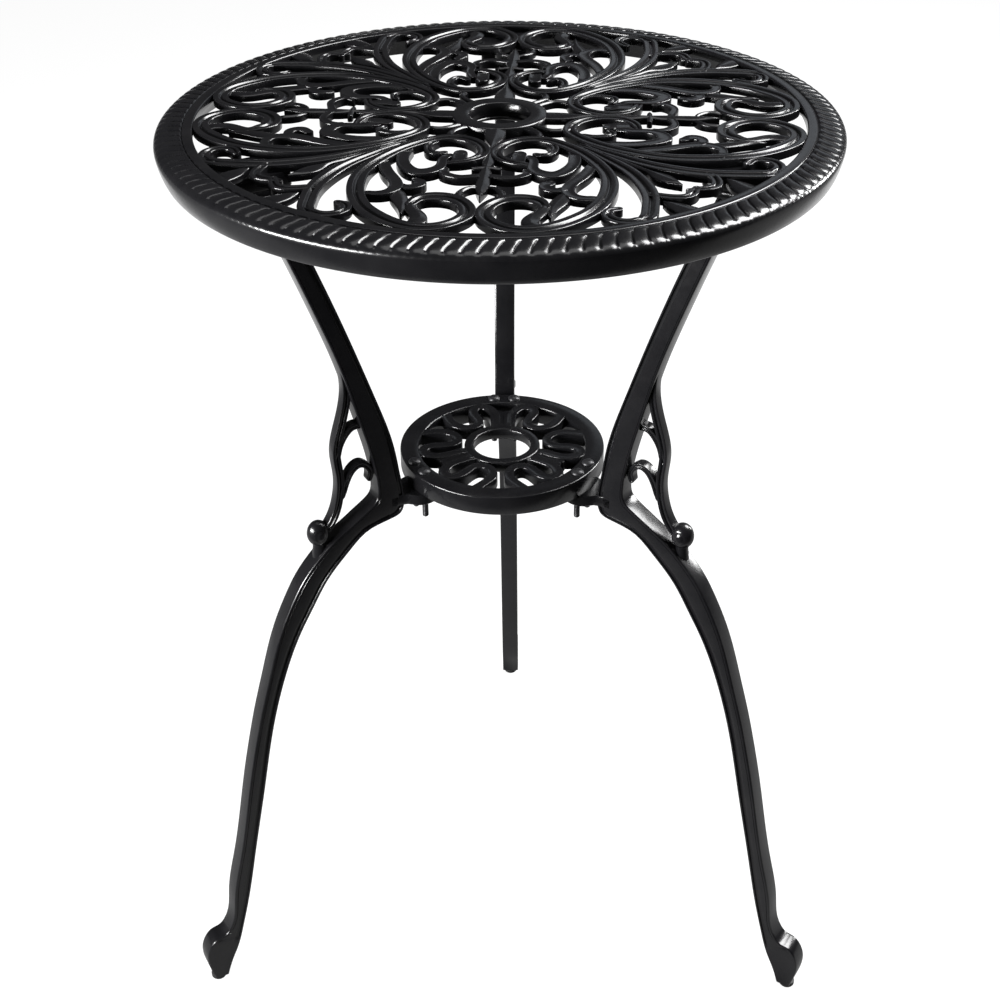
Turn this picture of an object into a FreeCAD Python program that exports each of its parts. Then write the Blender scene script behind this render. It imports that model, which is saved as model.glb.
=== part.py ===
import FreeCAD
import Part
import Sketcher
import math
import os
import re

from FreeCAD import Placement, Rotation, Vector

# Cast patio side table with an umbrella hole, standing on the floor.
# Origin: on the floor under the middle of the hole. +Z is up. Millimetres.
# The rear leg points along +Y, the two front legs 120 degrees to either side.

DRIVING_SIZES = {
    "top_diameter": 490,
    "table_height": 740,
    "rim_depth": 24,
    "rim_wall": 5,
    "ring_width": 7.5,
    "bevel_width": 20,
    "grille_thickness": 6,
    "pattern_turn": -3.3,
    "hub_diameter": 68,
    "hub_depth": 18,
    "umbrella_bore": 44,
    "lower_bore": 40,
    "bore_ledge_depth": 10,
    "pad_width": 38,
    "pad_thickness": 10,
    "flange_thickness": 6,
    "leg_thickness": 16.5,
    "bracket_thickness": 9,
    "knob_width": 18,
    "knob_height": 22,
    "shelf_diameter": 164.6,
    "shelf_thickness": 16,
    "shelf_scroll_thickness": 10,
    "shelf_ring_width": 15,
    "shelf_hub_diameter": 61,
    "shelf_bore": 46,
    "lug_width": 35,
    "lug_thickness": 9,
    "shelf_bolt_diameter": 5,
    "shelf_bolt_length": 41,
    "shelf_bolt_head_diameter": 10,
    "shelf_bolt_head_height": 3,
    "shelf_bolt_spacing": 17,
    "top_bolt_diameter": 6,
    "top_bolt_length": 14,
    "top_bolt_head_width": 10,
    "top_bolt_head_height": 4,
    "top_bolt_spacing": 22,
    "glide_diameter": 13,
    "glide_height": 5,
    "glide_stud_diameter": 6,
    "glide_stud_length": 20,
    "sliding_clearance": 0.3,
    "cut_margin": 1,
}

# Rim section as shares of (bevel width in from the edge, rim depth down from the top).
RIM_OUTSIDE = [(1, 0), (0.25, 0.08), (0, 0.2), (0.3, 1)]
RIM_INSIDE = (0.3, 1)

# Rings of the knob above its foot, as shares of (half its width, half its height).
KNOB_NECK = 0.56
KNOB_RINGS = [(KNOB_NECK, -0.9), (0.94, -0.45), (1, 0.1), (0.88, 0.6), (0.5, 1)]

# The legs are drawn for these sizes and stretch with the sheet's.
DRAWN_TOP_DIAMETER = 490
DRAWN_SHELF_DIAMETER = 164.6

# Radii and heights on the drawn leg.
FLANGE_INNER = 171
FLANGE_OUTER = 217
PAD_INNER = 168
PAD_OUTER = 230
TOP_BOLT_CIRCLE = 206
LUG_TOP = 449.5
LUG_CENTRE = 76
LUG_ROOT = 104
SHELF_BOLT_CIRCLE = 74.5
GLIDE_CIRCLE = 291
KNOB_RADIUS = 163.5
KNOB_CENTRE = 432
KNOB_FOOT = 409

LEG_DIRECTIONS = {"rear": 90, "front_left": 210, "front_right": 330}
SIDES = {"left": 1, "right": -1}

# A scroll's edge is straight pieces that leave its curve by no more than the sag,
# and turn by no more than the turn.
LARGEST_SAG = 1.6
LARGEST_TURN = math.radians(60)
LARGEST_SWELL = 6
SAMPLES_PER_SPAN = 8

# Small round pieces and their holes are drawn with this many sides.
SMALL_SIDES = 8

# Grille scrolls as centre lines of (across, outward, width), right half of one quarter.
CARTOUCHE_SCROLLS = {
    "lyre": [(27, 99.5, 5.5), (17, 97, 6.5), (8.2, 90, 7.5), (4.1, 79, 8.8), (6.5, 67.5, 9),
             (13, 58, 9.5), (22, 52.5, 9.5), (32, 51.5, 9.5), (42, 56, 9.5), (61, 75, 10),
             (76, 103, 10.5), (81.8, 134, 12), (77, 165, 12), (62, 191.5, 12.5),
             (50.5, 202.5, 12.5), (36.5, 209, 11.5), (22, 208, 11), (11.5, 200, 10.5),
             (5, 186, 11), (7.8, 172, 11), (16, 162.5, 12), (27, 159.5, 12.5),
             (37, 163, 11), (42, 171, 8)],
    "volute_lobe": [(42.3, 168, 7), (41.5, 178, 6.5), (36.5, 186, 8), (35, 194, 9),
                    (39, 203, 9)],
    "curl_hook": [(39, 58, 5), (43, 66, 5.5), (42.5, 75, 5.5), (38, 81.5, 5.5),
                  (31.5, 79.5, 6)],
    "inner_leaf": [(56, 76, 4), (57.5, 86, 7.5), (57, 97, 8.5), (53, 109, 9.5),
                   (45, 117.5, 10.5), (35.5, 114.5, 9), (30.5, 105, 6.5), (30.5, 94, 5),
                   (27, 85, 4.5)],
    "outer_leaf": [(70, 97, 3), (67.5, 108, 7), (63, 121, 8), (57, 134, 8.5),
                   (55.5, 146, 9), (60, 154, 6.5), (67.5, 156.5, 5.5), (76, 155, 5.5)],
    "leaf_hook": [(55, 137, 6), (48, 143, 5.5), (41, 139.5, 5.5), (39.5, 132, 5.5),
                  (45, 128.5, 5)],
    "leaf_tail": [(53, 146, 3), (50.5, 155, 9.5), (47, 167, 8), (43, 180, 2)],
    "cup": [(0, 121.5, 5.5), (8, 123.5, 5), (16, 125, 5), (23.5, 122, 5.5),
            (28, 115.5, 5), (26, 110.5, 3.5)],
    "hub_link": [(20, 25, 4.5), (27, 32, 4.5), (31, 40, 4.5), (28, 50, 5)],
}
CARTOUCHE_SPINE = {
    "hub_petal": [(0, 28, 14), (0, 48, 13), (0, 64, 3), (0, 76, 1.5)],
    "spear": [(0, 78, 1.5), (0, 94, 7), (0, 104, 4.5), (0, 138, 8.5), (0, 155.5, 1)],
}

# The same between two quarters.
CORNER_SCROLLS = {
    "fan": [(2, 84, 2), (2.5, 92, 4.5), (4.5, 115, 8.5), (10, 145, 10), (23, 173, 11),
            (44, 196.5, 11), (61, 207, 8)],
    "fan_curl": [(58, 206, 7), (67, 204.5, 6.5), (73, 198, 6), (73, 189, 6),
                 (66.5, 183, 5.5), (59.5, 183.5, 5)],
    "scallop": [(27, 180, 6), (21.5, 191, 7), (12, 198, 7), (4, 195.5, 6.5), (-3, 191, 5)],
    "ring_petal": [(29, 188, 3), (28.5, 196, 9), (27.5, 205, 14), (26, 219.7, 17)],
}
CORNER_SPINE = {
    "web": [(0, 79, 3), (0, 86, 10), (0, 108, 17)],
    "bud": [(0, 104, 6), (0, 122, 5), (0, 146, 12), (0, 162, 9.5), (0, 178, 1)],
}

# Shelf scrolls, right half of one third.
SHELF_SCROLLS = {
    "stem": [(3, 26.6, 7), (3, 52, 7)],
    "scroll": [(6, 29, 7), (6.5, 40, 7), (7.5, 50, 7), (11.5, 57.5, 7.5), (17.5, 61.5, 7.5),
               (23.5, 59, 7), (25.5, 52, 7), (23, 45, 7), (20.5, 39, 6.5),
               (20, 32.5, 6.5), (24.5, 27.5, 6.5), (33, 27, 6.5), (40, 31, 7),
               (44.5, 38.5, 7), (50.5, 55.2, 7.5)],
}

# Leg outline as (radius, height), from the flange down the inner edge and back up.
LEG_INNER_UPPER = [(177, 718), (152.7, 657), (131.7, 600), (111.2, 539), (98, 492),
                   (93.5, 466), (92, 441)]
LEG_KNEE = [(92, 441), (94.5, 433.5), (103, 430.5)]
LEG_INNER_LOWER = [(103, 430.5), (125, 425), (143, 410), (167, 382), (186, 350.5),
                   (203, 312.5), (217.8, 265), (231.4, 203), (245.6, 138), (256, 90),
                   (265, 56), (273, 32), (284, 5)]
LEG_TOE = [(297, 5), (300.8, 20), (300.5, 34), (297, 45), (290, 50.5), (283, 53),
           (278.5, 56)]
LEG_OUTER_LOWER = [(278.5, 56), (260.4, 133), (244.4, 210), (233.6, 257), (219.3, 308),
                   (203.8, 355), (185, 391), (163, 417), (140, 433.5), (130, 439.5), (121, 446)]
LEG_OUTER_UPPER = [(121, 446), (115.5, 452), (114, 462), (116.5, 482), (123, 512),
                   (137, 565), (153, 613), (172.5, 665), (194, 718)]

# Scrolled bracket inside the leg's bend, as centre lines of (radius, height, width).
BRACKET_SCROLLS = [
    [(134, 562, 6), (136.5, 544, 6), (143, 522, 6), (146.5, 500, 6), (144.5, 478, 6),
     (147, 458, 6), (153, 443, 6), (161, 432, 6)],
    [(122, 518, 5), (132, 518, 5), (139, 513, 5), (144, 504, 5), (146, 495, 5)],
    [(144, 461, 6), (138.2, 474, 5), (132.5, 481.5, 5), (127, 483.5, 5), (121.5, 480.5, 5),
     (118.7, 475, 5), (120, 468, 5)],
]

doc = FreeCAD.newDocument("UmbrellaTable")
sheet = doc.addObject("Spreadsheet::Sheet", "Dimensions")
for row, (alias, value) in enumerate(DRIVING_SIZES.items(), start=1):
    sheet.set(f"A{row}", alias)
    sheet.set(f"B{row}", str(value))
    sheet.setAlias(f"B{row}", alias)
doc.recompute()


def size(alias):
    """A driving dimension as it stands in the sheet."""
    return float(getattr(sheet, alias))


UNDER_PADS = "(table_height - grille_thickness - pad_thickness)"
LEG_TOP = f"({UNDER_PADS} - flange_thickness)"
DRAWN_LEG_TOP = LEG_INNER_UPPER[0][1]
DRAWN_LEG_FOOT = LEG_INNER_LOWER[-1][1]

TOP_STRETCH = size("top_diameter") / DRAWN_TOP_DIAMETER
LEG_HEIGHT = (size("table_height") - size("grille_thickness") - size("pad_thickness")
              - size("flange_thickness") - size("glide_height"))
HEIGHT_STRETCH = LEG_HEIGHT / (DRAWN_LEG_TOP - DRAWN_LEG_FOOT)
HEIGHT_SHIFT = size("glide_height") - DRAWN_LEG_FOOT * HEIGHT_STRETCH


def reach(radius):
    """Expression for a drawn radius, stretched with the table top."""
    return f"({radius} * top_diameter / {DRAWN_TOP_DIAMETER})"


def rise(height):
    """Expression for a drawn height, stretched between the glide and the flange."""
    share = f"{height - DRAWN_LEG_FOOT} / {DRAWN_LEG_TOP - DRAWN_LEG_FOOT}"
    return f"(glide_height + ({LEG_TOP} - glide_height) * {share})"


def shelf_reach(radius):
    """Expression for a drawn radius, stretched with the shelf."""
    return f"({radius} * shelf_diameter / {DRAWN_SHELF_DIAMETER})"


SHELF_TOP = f"({rise(LUG_TOP)} + shelf_thickness)"


def bind(thing, **expressions):
    """Bind properties of an object to expressions in the sheet's aliases."""
    for name, expression in expressions.items():
        full = re.sub(r"[a-z]+_[a-z_]+", r"Dimensions.\g<0>", expression)
        thing.setExpression(name.replace("__", "."), full)
    return thing


def place(thing, east="0", north="0", up="0", azimuth=0):
    """Turn an object about its own Z axis and bind where it stands."""
    thing.Placement.Rotation = Rotation(Vector(0, 0, 1), azimuth)
    return bind(thing, Placement__Base__x=east, Placement__Base__y=north, Placement__Base__z=up)


def around(radius, azimuth, across="0"):
    """Expressions for a point at a radius in a leg's direction, and so far to its left."""
    east = f"{radius} * cos({azimuth} deg) - ({across}) * sin({azimuth} deg)"
    north = f"{radius} * sin({azimuth} deg) + ({across}) * cos({azimuth} deg)"
    return east, north


def cylinder(name, radius, height):
    return bind(doc.addObject("Part::Cylinder", name), Radius=radius, Height=height)


def block(name, length, width, height):
    return bind(doc.addObject("Part::Box", name), Length=length, Width=width, Height=height)


def prism(name, sides, radius, height):
    solid = doc.addObject("Part::Prism", name)
    solid.Polygon = sides
    return bind(solid, Circumradius=radius, Height=height)


def joined(name, pieces):
    fusion = doc.addObject("Part::MultiFuse", name)
    fusion.Shapes = pieces
    fusion.Refine = True
    return fusion


def pierced(name, solid, tool):
    cut = doc.addObject("Part::Cut", name)
    cut.Base = solid
    cut.Tool = tool
    cut.Refine = True
    return cut


def turned(name, corners):
    """A solid of revolution about the Z axis from (radius, height) expressions."""
    sketch = doc.addObject("Sketcher::SketchObject", name + "_section")
    sketch.Placement = Placement(Vector(0, 0, 0), Rotation(Vector(1, 0, 0), 90))
    count = len(corners)
    guess = [Vector(100 + 50 * math.cos(2 * math.pi * i / count),
                    50 * math.sin(2 * math.pi * i / count), 0) for i in range(count)]
    for i in range(count):
        sketch.addGeometry(Part.LineSegment(guess[i], guess[(i + 1) % count]), False)
    for i in range(count):
        sketch.addConstraint(Sketcher.Constraint("Coincident", i, 2, (i + 1) % count, 1))
    for i, (radius, height) in enumerate(corners):
        for kind, value, expression in (("DistanceX", guess[i].x, radius),
                                        ("DistanceY", guess[i].y, height)):
            index = sketch.addConstraint(Sketcher.Constraint(kind, -1, 1, i, 1, value))
            bind(sketch, **{f"Constraints[{index}]": expression})
    solid = doc.addObject("Part::Revolution", name)
    solid.Source = sketch
    solid.Axis = Vector(0, 0, 1)
    solid.Base = Vector(0, 0, 0)
    solid.Angle = 360
    solid.Solid = True
    return solid


def spline(points):
    """A smooth curve through points."""
    curve = Part.BSplineCurve()
    curve.interpolate(points)
    return curve


def facing_up(outline):
    """A flat face inside a closed list of points, its normal along +Z."""
    twice_area = sum(a.x * b.y - b.x * a.y for a, b in zip(outline, outline[1:] + outline[:1]))
    if twice_area < 0:
        outline = outline[::-1]
    face = Part.Face(Part.makePolygon(outline + outline[:1]))
    return face if face.normalAt(0, 0).z > 0 else face.reversed()


def stations(centre, knots, widths):
    """Places and widths along a ribbon, closer together where it bends or swells."""
    samples = []
    for start, end, wide, next_wide in zip(knots, knots[1:], widths, widths[1:]):
        for step in range(SAMPLES_PER_SPAN):
            share = step / SAMPLES_PER_SPAN
            samples.append((start + share * (end - start), wide + share * (next_wide - wide)))
    samples.append((knots[-1], widths[-1]))
    kept = samples[:1]
    turn = 0
    for before, sample in zip(samples, samples[1:-1]):
        turn += centre.tangent(before[0])[0].getAngle(centre.tangent(sample[0])[0])
        chord = centre.value(kept[-1][0]).distanceToPoint(centre.value(sample[0]))
        swell = abs(sample[1] - kept[-1][1])
        if chord * turn / 8 > LARGEST_SAG or turn > LARGEST_TURN or swell > LARGEST_SWELL:
            kept.append(sample)
            turn = 0
    return kept + samples[-1:]


def reaching(drawings, inner, outer):
    """A rule that moves drawn points outward, so that their lines reach from inner to outer."""
    radii = [math.hypot(x, y) for lines in drawings for points in lines.values()
             for x, y, _ in points]
    nearest = min(radii)
    stretch = (outer - inner) / (max(radii) - nearest)

    def move(point):
        return point * ((inner + (point.Length - nearest) * stretch) / point.Length)
    return move


def ribbon(points, move, mirror=1):
    """A flat face along a smooth centre line of drawn (x, y, width) points."""
    places = [Vector(mirror * x, y, 0) for x, y, _ in points]
    widths = [width for _, _, width in points]
    centre = spline(places)
    knots = [centre.parameter(place_on) for place_on in places]
    left, right = [], []
    for knot, width in stations(centre, knots, widths):
        along = centre.tangent(knot)[0]
        side = Vector(-along.y, along.x, 0) * (width / 2)
        left.append(centre.value(knot) + side)
        right.append(centre.value(knot) - side)
    return facing_up([move(point) for point in left + right[::-1]])


def arcs(points):
    """Arcs through every second point, each passing through the point between."""
    return [Part.Arc(*points[i:i + 3]) for i in range(0, len(points) - 2, 2)]


def united(faces):
    """One face from many that overlap in a plane."""
    whole = faces[0].multiFuse(faces[1:]).removeSplitter()
    if len(whole.Faces) != 1:
        raise RuntimeError(f"an outline came out as {len(whole.Faces)} faces")
    return whole.Faces[0]


def spun(shape, degrees):
    return shape.rotated(Vector(0, 0, 0), Vector(0, 0, 1), degrees)


def annulus(inner, outer):
    disc = Part.Face(Part.Wire(Part.makeCircle(outer)))
    return disc.cut(Part.Face(Part.Wire(Part.makeCircle(inner)))).Faces[0]


def pattern(halves, spines, move):
    """One repeat of a scroll pattern, its halves mirrored about +Y."""
    faces = [ribbon(points, move) for points in spines.values()]
    for points in halves.values():
        faces += [ribbon(points, move), ribbon(points, move, mirror=-1)]
    return united(faces)


def between_rings(scrolls, bore, hub, ring, edge):
    """Scrolls joined with a flat hub and a flat ring."""
    whole = united([annulus(bore, hub), annulus(ring, edge)] + scrolls)
    return whole.common(annulus(bore, edge)).Faces[0]


def flat_feature(name, shape):
    feature = doc.addObject("Part::Feature", name)
    feature.Shape = shape
    return feature


def thickened(name, feature, direction, thickness, symmetric):
    solid = doc.addObject("Part::Extrusion", name)
    solid.Base = feature
    solid.DirMode = "Custom"
    solid.Dir = direction
    solid.Solid = True
    solid.Symmetric = symmetric
    return bind(solid, LengthFwd=thickness)


def grille_outline():
    """The scrollwork of the top: four cartouches with fans of scrolls between them."""
    bore = size("umbrella_bore") / 2
    hub = size("hub_diameter") / 2
    edge = size("top_diameter") / 2 - size("bevel_width")
    ring = edge - size("ring_width")
    drawings = [CARTOUCHE_SCROLLS, CARTOUCHE_SPINE, CORNER_SCROLLS, CORNER_SPINE]
    move = reaching(drawings, (bore + hub) / 2, (ring + edge) / 2)
    cartouche = pattern(CARTOUCHE_SCROLLS, CARTOUCHE_SPINE, move)
    corner = pattern(CORNER_SCROLLS, CORNER_SPINE, move)
    scrolls = []
    for index in range(4):
        scrolls += [spun(cartouche, 90 * index), spun(corner, 90 * index + 45)]
    return spun(between_rings(scrolls, bore, hub, ring, edge), size("pattern_turn"))


def make_rim():
    """Sloping bevel and rounded band outside the flat ring, all one wall."""
    edge = "top_diameter / 2"
    outside = [(f"{edge} - {inward} * bevel_width", f"table_height - {down} * rim_depth")
               for inward, down in RIM_OUTSIDE]
    inward, down = RIM_INSIDE
    inside = [(f"{edge} - rim_wall - {inward} * bevel_width", f"table_height - {down} * rim_depth"),
              (f"{edge} - bevel_width", "table_height - grille_thickness")]
    return turned("rim", outside + inside)


def make_hub():
    """Boss under the grille round the umbrella hole, which narrows at a ledge."""
    height = "(hub_depth - grille_thickness)"
    boss = place(cylinder("hub_boss", "hub_diameter / 2", height), up="table_height - hub_depth")
    upper = place(cylinder("hub_upper_bore", "umbrella_bore / 2", "bore_ledge_depth"),
                  up="table_height - bore_ledge_depth")
    lower = place(cylinder("hub_lower_bore", "lower_bore / 2", "hub_depth + cut_margin"),
                  up="table_height - hub_depth - cut_margin")
    return pierced("hub", boss, joined("hub_bores", [upper, lower]))


def top_bolt_holes(azimuth):
    """Blind threaded holes that take one leg's two bolts."""
    holes = []
    for side, sign in SIDES.items():
        hole = prism(f"top_hole_{azimuth}_{side}", SMALL_SIDES, "top_bolt_diameter / 2",
                     "top_bolt_length - flange_thickness + cut_margin")
        east, north = around(reach(TOP_BOLT_CIRCLE), azimuth, f"{sign} * top_bolt_spacing / 2")
        holes.append(place(hole, east, north, f"{UNDER_PADS} - cut_margin", azimuth))
    return holes


def make_pad(azimuth):
    """Thick patch under the grille where a leg is bolted on."""
    pad = block(f"pad_block_{azimuth}", f"{reach(PAD_OUTER)} - {reach(PAD_INNER)}",
                "pad_width", "pad_thickness")
    east, north = around(reach(PAD_INNER), azimuth, "-pad_width / 2")
    place(pad, east, north, UNDER_PADS, azimuth)
    return pierced(f"pad_{azimuth}", pad, joined(f"top_holes_{azimuth}", top_bolt_holes(azimuth)))


def make_table_top():
    grille = thickened("grille", flat_feature("grille_outline", grille_outline()),
                       Vector(0, 0, 1), "grille_thickness", False)
    place(grille, up="table_height - grille_thickness")
    pads = [make_pad(azimuth) for azimuth in LEG_DIRECTIONS.values()]
    top = joined("table_top", [make_rim(), make_hub(), grille] + pads)
    top.Refine = False
    return top


def leg_point(drawn):
    """A drawn point of a leg, x outward and y up, stretched to the table's size."""
    return Vector(drawn.x * TOP_STRETCH, drawn.y * HEIGHT_STRETCH + HEIGHT_SHIFT, 0)


def upright(points):
    """Drawn (radius, height) points of a leg, stretched, in the XZ plane."""
    placed = [leg_point(Vector(radius, height, 0)) for radius, height in points]
    return [Vector(point.x, 0, point.y) for point in placed]


def leg_outline():
    outline = arcs(upright(LEG_INNER_UPPER)) + arcs(upright(LEG_KNEE))
    outline += arcs(upright(LEG_INNER_LOWER))
    outline.append(Part.LineSegment(*upright([LEG_INNER_LOWER[-1], LEG_TOE[0]])))
    outline += arcs(upright(LEG_TOE)) + arcs(upright(LEG_OUTER_LOWER))
    outline += arcs(upright(LEG_OUTER_UPPER))
    outline.append(Part.LineSegment(*upright([LEG_OUTER_UPPER[-1], LEG_INNER_UPPER[0]])))
    return Part.Face(Part.Wire([edge.toShape() for edge in outline]))


def upright_ribbons(lines):
    """Ribbons drawn as (radius, height, width), joined and stood up in the XZ plane."""
    shape = united([ribbon(points, leg_point) for points in lines])
    shape.rotate(Vector(0, 0, 0), Vector(1, 0, 0), 90)
    return shape


def make_knob(name):
    """Rounded finial on the leg's shoulder, standing on a short neck."""
    heights = [(KNOB_NECK, rise(KNOB_FOOT))]
    heights += [(wide, f"{rise(KNOB_CENTRE)} + {up} * knob_height / 2") for wide, up in KNOB_RINGS]
    knob = doc.addObject("Part::Loft", f"{name}_knob")
    knob.Sections = [ring_of_sides(f"{name}_knob_ring_{index}", wide, height)
                     for index, (wide, height) in enumerate(heights)]
    knob.Solid = True
    knob.Ruled = True
    return knob


def ring_of_sides(name, wide, height):
    ring = doc.addObject("Part::RegularPolygon", name)
    ring.Polygon = SMALL_SIDES
    bind(ring, Circumradius=f"{wide} * knob_width / 2")
    return place(ring, reach(KNOB_RADIUS), "0", height)


def make_lug(name):
    """Tongue under the shelf, as wide as its bolts need at its round inner end."""
    root = block(f"{name}_lug_root", f"{reach(LUG_ROOT)} - {shelf_reach(LUG_CENTRE)}",
                 "leg_thickness", "lug_thickness")
    place(root, shelf_reach(LUG_CENTRE), "-leg_thickness / 2", f"{rise(LUG_TOP)} - lug_thickness")
    end = cylinder(f"{name}_lug_end", "lug_width / 2", "lug_thickness")
    place(end, shelf_reach(LUG_CENTRE), "0", f"{rise(LUG_TOP)} - lug_thickness")
    return [root, end]


def make_flange(name):
    flange = block(f"{name}_flange", f"{reach(FLANGE_OUTER)} - {reach(FLANGE_INNER)}",
                   "pad_width", "flange_thickness")
    return place(flange, reach(FLANGE_INNER), "-pad_width / 2", LEG_TOP)


def leg_holes(name):
    """Holes for the shelf bolts, the top bolts and the glide's stud."""
    holes = []
    for side, sign in SIDES.items():
        shelf_hole = prism(f"{name}_lug_hole_{side}", SMALL_SIDES, "shelf_bolt_diameter / 2",
                           "lug_thickness + 2 * cut_margin")
        place(shelf_hole, shelf_reach(SHELF_BOLT_CIRCLE), f"{sign} * shelf_bolt_spacing / 2",
              f"{rise(LUG_TOP)} - lug_thickness - cut_margin")
        flange_hole = prism(f"{name}_flange_hole_{side}", SMALL_SIDES, "top_bolt_diameter / 2",
                            "flange_thickness + 2 * cut_margin")
        place(flange_hole, reach(TOP_BOLT_CIRCLE), f"{sign} * top_bolt_spacing / 2",
              f"{LEG_TOP} - cut_margin")
        holes += [shelf_hole, flange_hole]
    stud_hole = prism(f"{name}_stud_hole", SMALL_SIDES,
                      "glide_stud_diameter / 2 + sliding_clearance",
                      "glide_stud_length + 2 * cut_margin")
    holes.append(place(stud_hole, reach(GLIDE_CIRCLE), "0", "glide_height - cut_margin"))
    return holes


def make_leg(where, azimuth):
    name = f"leg_{where}"
    bar = thickened(f"{name}_bar", flat_feature(f"{name}_outline", leg_outline()),
                    Vector(0, 1, 0), "leg_thickness", True)
    lines = flat_feature(f"{name}_bracket_lines", upright_ribbons(BRACKET_SCROLLS))
    bracket = thickened(f"{name}_bracket", lines, Vector(0, 1, 0), "bracket_thickness", True)
    pieces = [bar, bracket, make_flange(name), make_knob(name)] + make_lug(name)
    leg = pierced(name, joined(f"{name}_casting", pieces), joined(f"{name}_holes", leg_holes(name)))
    leg.Placement = Placement(Vector(0, 0, 0), Rotation(Vector(0, 0, 1), azimuth))
    return leg


def shelf_outline():
    bore = size("shelf_bore") / 2
    hub = size("shelf_hub_diameter") / 2
    edge = size("shelf_diameter") / 2
    ring = edge - size("shelf_ring_width")
    move = reaching([SHELF_SCROLLS], (bore + hub) / 2, (ring + edge) / 2)
    third = pattern(SHELF_SCROLLS, {}, move)
    scrolls = [spun(third, azimuth - 90) for azimuth in LEG_DIRECTIONS.values()]
    return between_rings(scrolls, bore, hub, ring, edge)


def make_tube(name, outer, inner, height, up):
    wall = place(cylinder(f"{name}_wall", outer, height), up=up)
    bore = place(cylinder(f"{name}_bore", inner, f"{height} + 2 * cut_margin"),
                 up=f"{up} - cut_margin")
    return pierced(name, wall, bore)


def make_shelf():
    """Small round shelf: a scrolled plate with a deeper ring and hub under its edges."""
    skirt = "(shelf_thickness - shelf_scroll_thickness)"
    ring = make_tube("shelf_ring", "shelf_diameter / 2", "shelf_diameter / 2 - shelf_ring_width",
                     skirt, rise(LUG_TOP))
    hub = make_tube("shelf_hub", "shelf_hub_diameter / 2", "shelf_bore / 2", skirt,
                    rise(LUG_TOP))
    plate = thickened("shelf_plate", flat_feature("shelf_outline", shelf_outline()),
                      Vector(0, 0, 1), "shelf_scroll_thickness", False)
    place(plate, up=f"{SHELF_TOP} - shelf_scroll_thickness")
    holes = []
    for azimuth in LEG_DIRECTIONS.values():
        for side, sign in SIDES.items():
            hole = prism(f"shelf_hole_{azimuth}_{side}", SMALL_SIDES, "shelf_bolt_diameter / 2",
                         "shelf_thickness + 2 * cut_margin")
            east, north = around(shelf_reach(SHELF_BOLT_CIRCLE), azimuth,
                                 f"{sign} * shelf_bolt_spacing / 2")
            holes.append(place(hole, east, north, f"{rise(LUG_TOP)} - cut_margin", azimuth))
    casting = joined("shelf_casting", [ring, hub, plate])
    return pierced("shelf", casting, joined("shelf_holes", holes))


def make_shelf_bolt(where, azimuth, side, sign):
    """Button-headed bolt from above, its bare end below the lug."""
    name = f"shelf_bolt_{where}_{side}"
    shank = prism(f"{name}_shank", SMALL_SIDES, "shelf_bolt_diameter / 2", "shelf_bolt_length")
    place(shank, up="-shelf_bolt_length")
    head = prism(f"{name}_head", SMALL_SIDES, "shelf_bolt_head_diameter / 2",
                 "shelf_bolt_head_height")
    east, north = around(shelf_reach(SHELF_BOLT_CIRCLE), azimuth,
                         f"{sign} * shelf_bolt_spacing / 2")
    return place(joined(name, [shank, head]), east, north, SHELF_TOP, azimuth)


def make_top_bolt(where, azimuth, side, sign):
    """Hexagon-headed bolt from below, through the leg's flange into the top."""
    name = f"top_bolt_{where}_{side}"
    shank = prism(f"{name}_shank", SMALL_SIDES, "top_bolt_diameter / 2", "top_bolt_length")
    head = prism(f"{name}_head", 6, "top_bolt_head_width / sqrt(3)", "top_bolt_head_height")
    place(head, up="-top_bolt_head_height")
    east, north = around(reach(TOP_BOLT_CIRCLE), azimuth, f"{sign} * top_bolt_spacing / 2")
    return place(joined(name, [shank, head]), east, north, LEG_TOP, azimuth)


def make_glide(where, azimuth):
    """Foot that meets the floor, on a stud that screws up into the leg."""
    foot = prism(f"glide_foot_{where}", SMALL_SIDES, "glide_diameter / 2", "glide_height")
    stud = prism(f"glide_stud_{where}", SMALL_SIDES, "glide_stud_diameter / 2",
                 "glide_stud_length")
    place(stud, up="glide_height")
    east, north = around(reach(GLIDE_CIRCLE), azimuth)
    return place(joined(f"glide_{where}", [foot, stud]), east, north, azimuth=azimuth)


def make_all():
    pieces = [make_table_top(), make_shelf()]
    for where, azimuth in LEG_DIRECTIONS.items():
        pieces.append(make_leg(where, azimuth))
        for side, sign in SIDES.items():
            pieces.append(make_shelf_bolt(where, azimuth, side, sign))
            pieces.append(make_top_bolt(where, azimuth, side, sign))
        pieces.append(make_glide(where, azimuth))
    return pieces


def check(pieces):
    """Stop before anything is written if an object failed."""
    for thing in doc.Objects:
        if "Invalid" in thing.State or "Error" in thing.State:
            raise RuntimeError(f"{thing.Name} failed: {thing.State}")
    for piece in pieces:
        if piece.Shape.isNull() or not piece.Shape.isValid():
            raise RuntimeError(f"{piece.Label} has no valid shape")
        if len(piece.Shape.Solids) != 1:
            raise RuntimeError(f"{piece.Label} is {len(piece.Shape.Solids)} solids")


def write(pieces):
    os.makedirs("parts", exist_ok=True)
    for piece in pieces:
        piece.Shape.exportStep(f"parts/{piece.Label}.step")


nodes = make_all()
doc.recompute()
check(nodes)
write(nodes)
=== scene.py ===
import math

import bpy
import numpy as np
from mathutils import Matrix, Vector


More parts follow.
